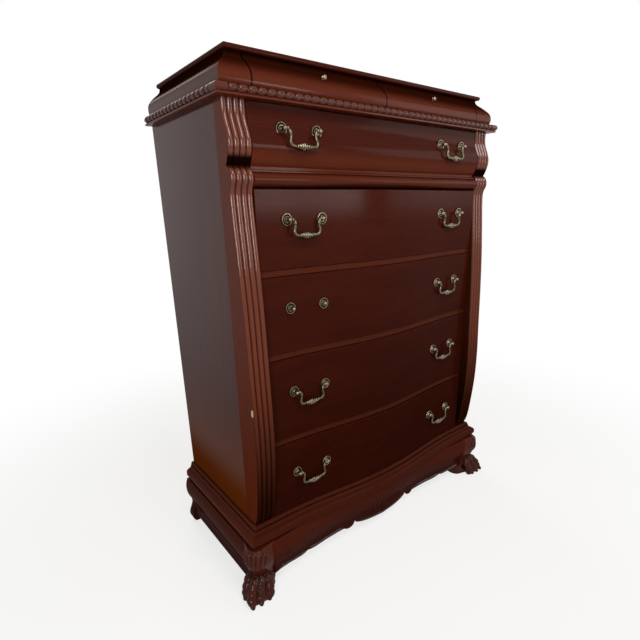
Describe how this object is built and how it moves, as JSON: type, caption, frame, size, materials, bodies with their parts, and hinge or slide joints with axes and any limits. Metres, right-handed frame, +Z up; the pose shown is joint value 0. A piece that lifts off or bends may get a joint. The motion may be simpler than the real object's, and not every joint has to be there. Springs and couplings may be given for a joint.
{
  "type": "serpentine tall chest",
  "caption": "Tall chest of drawers with a serpentine front, reeded S-curved pilasters, gadrooned cornice, shaped frieze drawers, brass bail pulls and paw feet.",
  "frame": {"origin": "on the floor, at the middle of the width and of the depth", "axes": "+X to the right seen from the front, +Y to the back, +Z up"},
  "size_m": [1.105, 0.495, 1.403],
  "materials": {
    "lacquered_cherry": "gloss lacquer",
    "drawer_wood": "plain sanded",
    "antique_brass": "antique, worn"
  },
  "bodies": {
    "case": {"top_board": "lacquered_cherry", "frieze_back": "drawer_wood", "frieze_divider": "drawer_wood", "frieze_side_left": "lacquered_cherry", "frieze_side_right": "lacquered_cherry", "frieze_corners": "lacquered_cherry", "frieze_deck": "lacquered_cherry", "cornice_front": "lacquered_cherry", "cornice_left": "lacquered_cherry", "cornice_right": "lacquered_cherry", "side_left": "lacquered_cherry", "side_right": "lacquered_cherry", "pilaster_left": "lacquered_cherry", "pilaster_right": "lacquered_cherry", "waist_moulding": "lacquered_cherry", "drawer_rails": "lacquered_cherry", "drawer_runners": "drawer_wood", "bottom_board": "drawer_wood", "back_panel": "drawer_wood", "plinth_front": "lacquered_cherry", "plinth_left": "lacquered_cherry", "plinth_right": "lacquered_cherry", "apron_front": "lacquered_cherry", "apron_left": "lacquered_cherry", "apron_right": "lacquered_cherry", "foot_front_left": "lacquered_cherry", "foot_front_right": "lacquered_cherry", "foot_rear_left": "lacquered_cherry", "foot_rear_right": "lacquered_cherry"},
    "drawer_1": {"drawer_1_front": "lacquered_cherry", "drawer_1_box": "drawer_wood", "drawer_1_pull_posts": "antique_brass"},
    "bail_1_left": {"bail_1_left": "antique_brass"},
    "bail_1_right": {"bail_1_right": "antique_brass"},
    "drawer_2": {"drawer_2_front": "lacquered_cherry", "drawer_2_box": "drawer_wood", "drawer_2_pull_posts": "antique_brass"},
    "bail_2_left": {"bail_2_left": "antique_brass"},
    "bail_2_right": {"bail_2_right": "antique_brass"},
    "drawer_3": {"drawer_3_front": "lacquered_cherry", "drawer_3_box": "drawer_wood", "drawer_3_pull_posts": "antique_brass"},
    "bail_3_right": {"bail_3_right": "antique_brass"},
    "drawer_4": {"drawer_4_front": "lacquered_cherry", "drawer_4_box": "drawer_wood", "drawer_4_pull_posts": "antique_brass"},
    "bail_4_left": {"bail_4_left": "antique_brass"},
    "bail_4_right": {"bail_4_right": "antique_brass"},
    "drawer_5": {"drawer_5_front": "lacquered_cherry", "drawer_5_box": "drawer_wood", "drawer_5_pull_posts": "antique_brass"},
    "bail_5_left": {"bail_5_left": "antique_brass"},
    "bail_5_right": {"bail_5_right": "antique_brass"},
    "frieze_drawer_left": {"frieze_drawer_left_front": "lacquered_cherry", "frieze_drawer_left_box": "drawer_wood", "frieze_drawer_left_knob": "antique_brass"},
    "frieze_drawer_right": {"frieze_drawer_right_front": "lacquered_cherry", "frieze_drawer_right_box": "drawer_wood", "frieze_drawer_right_knob": "antique_brass"}
  },
  "joints": [
    {"name": "drawer_1_slide", "type": "slide", "parent": "case", "child": "drawer_1", "axis": [0, -1, 0], "range_m": [0, 0.3]},
    {"name": "bail_1_left_swing", "type": "hinge", "parent": "drawer_1", "child": "bail_1_left", "pos_m": [-0.2915, -0.20112, 1.2425], "axis": [-1, 0, 0], "range_deg": [0, 82]},
    {"name": "bail_1_right_swing", "type": "hinge", "parent": "drawer_1", "child": "bail_1_right", "pos_m": [0.2915, -0.20112, 1.2425], "axis": [-1, 0, 0], "range_deg": [0, 82]},
    {"name": "drawer_2_slide", "type": "slide", "parent": "case", "child": "drawer_2", "axis": [0, -1, 0], "range_m": [0, 0.3]},
    {"name": "bail_2_left_swing", "type": "hinge", "parent": "drawer_2", "child": "bail_2_left", "pos_m": [-0.2915, -0.2075, 1.0418], "axis": [-1, 0, 0], "range_deg": [0, 90]},
    {"name": "bail_2_right_swing", "type": "hinge", "parent": "drawer_2", "child": "bail_2_right", "pos_m": [0.2915, -0.2075, 1.0418], "axis": [-1, 0, 0], "range_deg": [0, 90]},
    {"name": "drawer_3_slide", "type": "slide", "parent": "case", "child": "drawer_3", "axis": [0, -1, 0], "range_m": [0, 0.3]},
    {"name": "bail_3_right_swing", "type": "hinge", "parent": "drawer_3", "child": "bail_3_right", "pos_m": [0.2915, -0.2075, 0.8228], "axis": [-1, 0, 0], "range_deg": [0, 90]},
    {"name": "drawer_4_slide", "type": "slide", "parent": "case", "child": "drawer_4", "axis": [0, -1, 0], "range_m": [0, 0.3]},
    {"name": "bail_4_left_swing", "type": "hinge", "parent": "drawer_4", "child": "bail_4_left", "pos_m": [-0.2915, -0.2075, 0.59055], "axis": [-1, 0, 0], "range_deg": [0, 90]},
    {"name": "bail_4_right_swing", "type": "hinge", "parent": "drawer_4", "child": "bail_4_right", "pos_m": [0.2915, -0.2075, 0.59055], "axis": [-1, 0, 0], "range_deg": [0, 90]},
    {"name": "drawer_5_slide", "type": "slide", "parent": "case", "child": "drawer_5", "axis": [0, -1, 0], "range_m": [0, 0.3]},
    {"name": "bail_5_left_swing", "type": "hinge", "parent": "drawer_5", "child": "bail_5_left", "pos_m": [-0.2915, -0.2075, 0.33825], "axis": [-1, 0, 0], "range_deg": [0, 90]},
    {"name": "bail_5_right_swing", "type": "hinge", "parent": "drawer_5", "child": "bail_5_right", "pos_m": [0.2915, -0.2075, 0.33825], "axis": [-1, 0, 0], "range_deg": [0, 90]},
    {"name": "frieze_drawer_left_slide", "type": "slide", "parent": "case", "child": "frieze_drawer_left", "axis": [0, -1, 0], "range_m": [0, 0.25]},
    {"name": "frieze_drawer_right_slide", "type": "slide", "parent": "case", "child": "frieze_drawer_right", "axis": [0, -1, 0], "range_m": [0, 0.25]}
  ]
}
